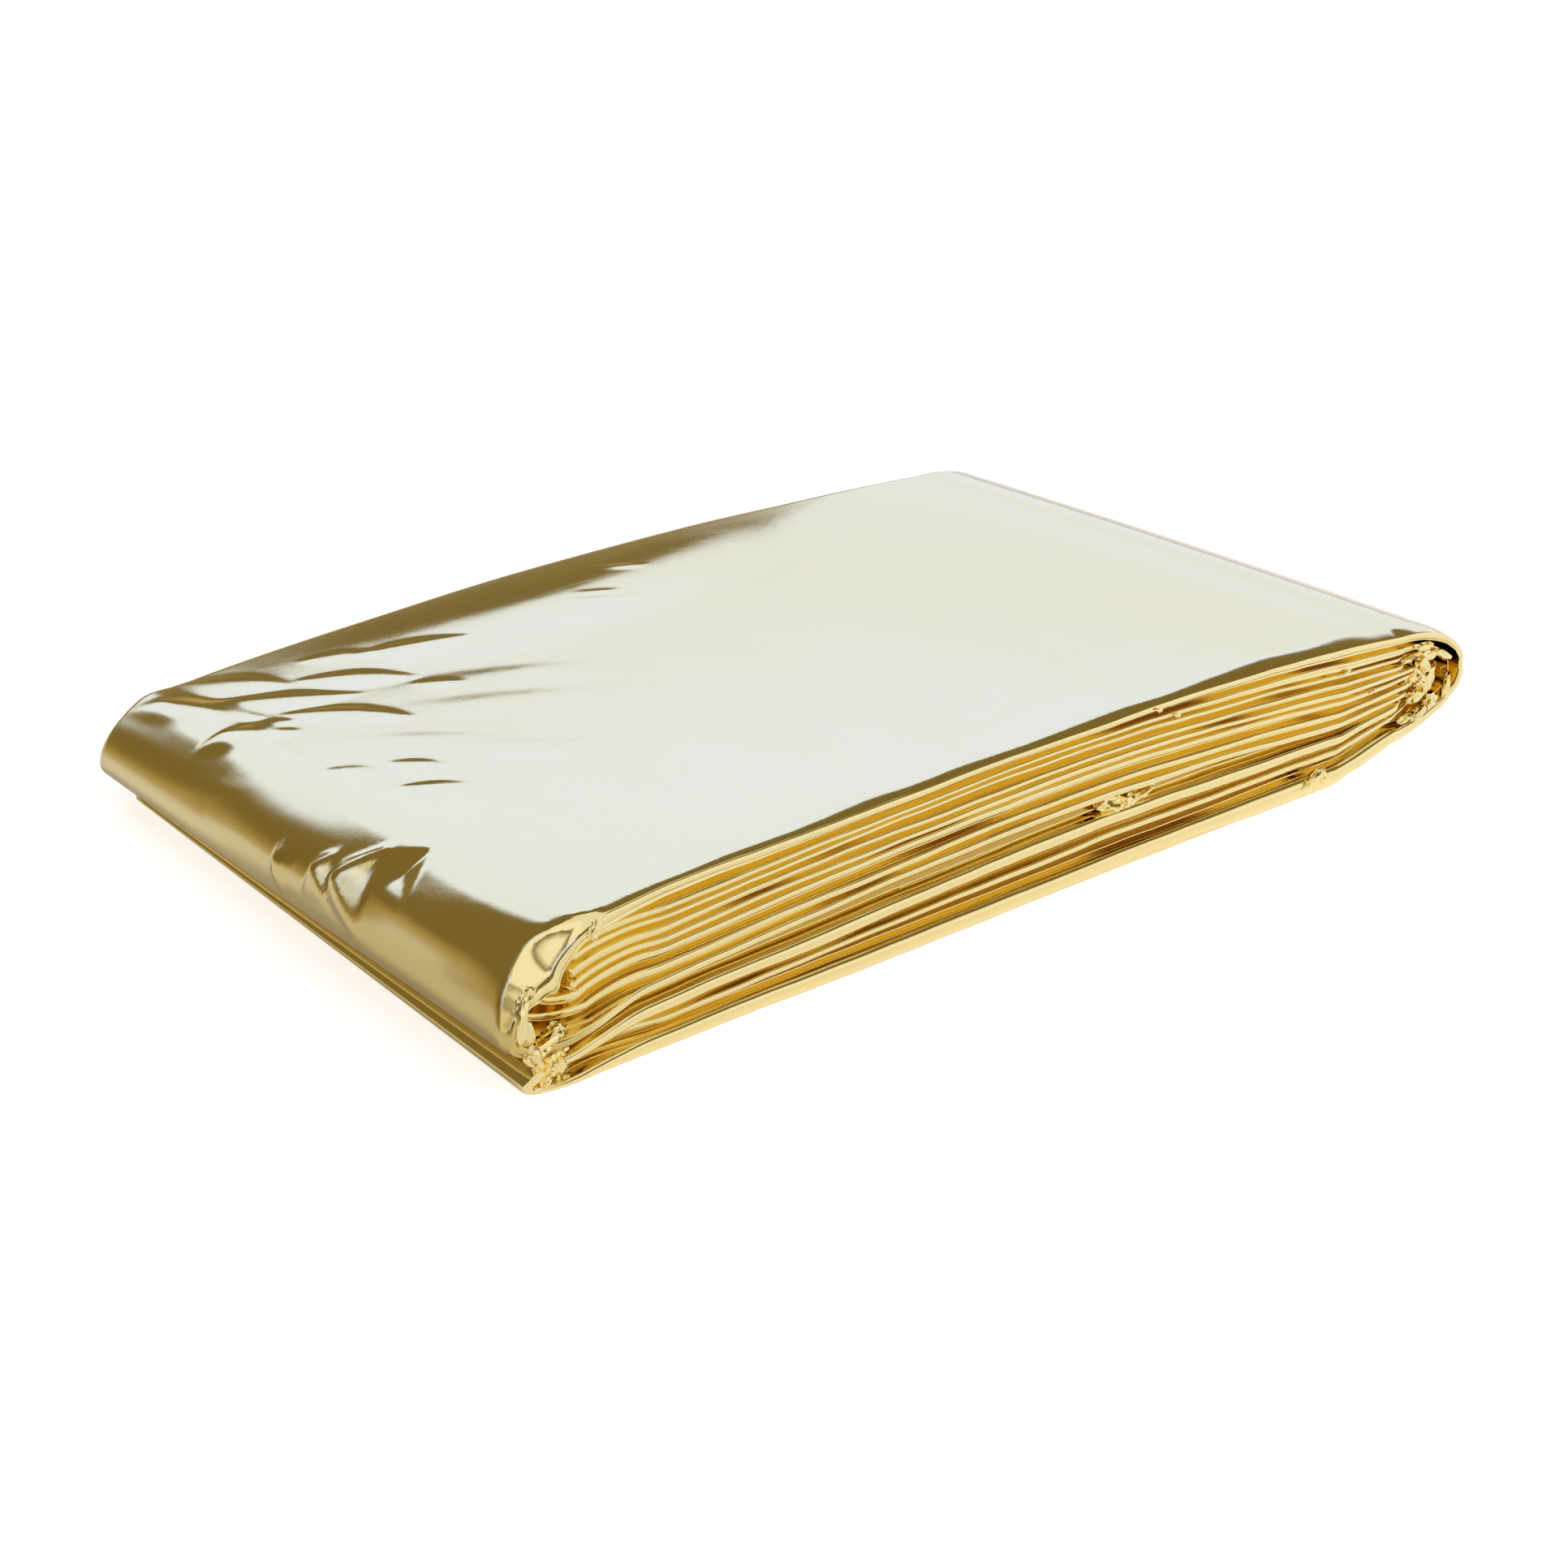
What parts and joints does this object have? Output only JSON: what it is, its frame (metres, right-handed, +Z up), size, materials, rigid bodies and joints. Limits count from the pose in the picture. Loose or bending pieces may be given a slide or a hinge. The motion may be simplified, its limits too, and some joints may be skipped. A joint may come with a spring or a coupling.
{
  "type": "emergency foil blanket",
  "caption": "Metallised film rescue blanket, pleated into a strip and folded to and fro into a flat, slightly domed packet.",
  "frame": {"origin": "under the middle of the packet's box, on the surface that it rests on", "axes": "+X along the packet, towards the end where its outer layers turn round all the others; +Y towards its lower, back edge; +Z up"},
  "size_m": [0.14, 0.0876, 0.0184],
  "materials": {
    "gold_film": "mirror-bright gold metallised polyester film with soft creases and fine handling scratches"
  },
  "bodies": {
    "root": {"foil_blanket": "gold_film"}
  },
  "joints": []
}
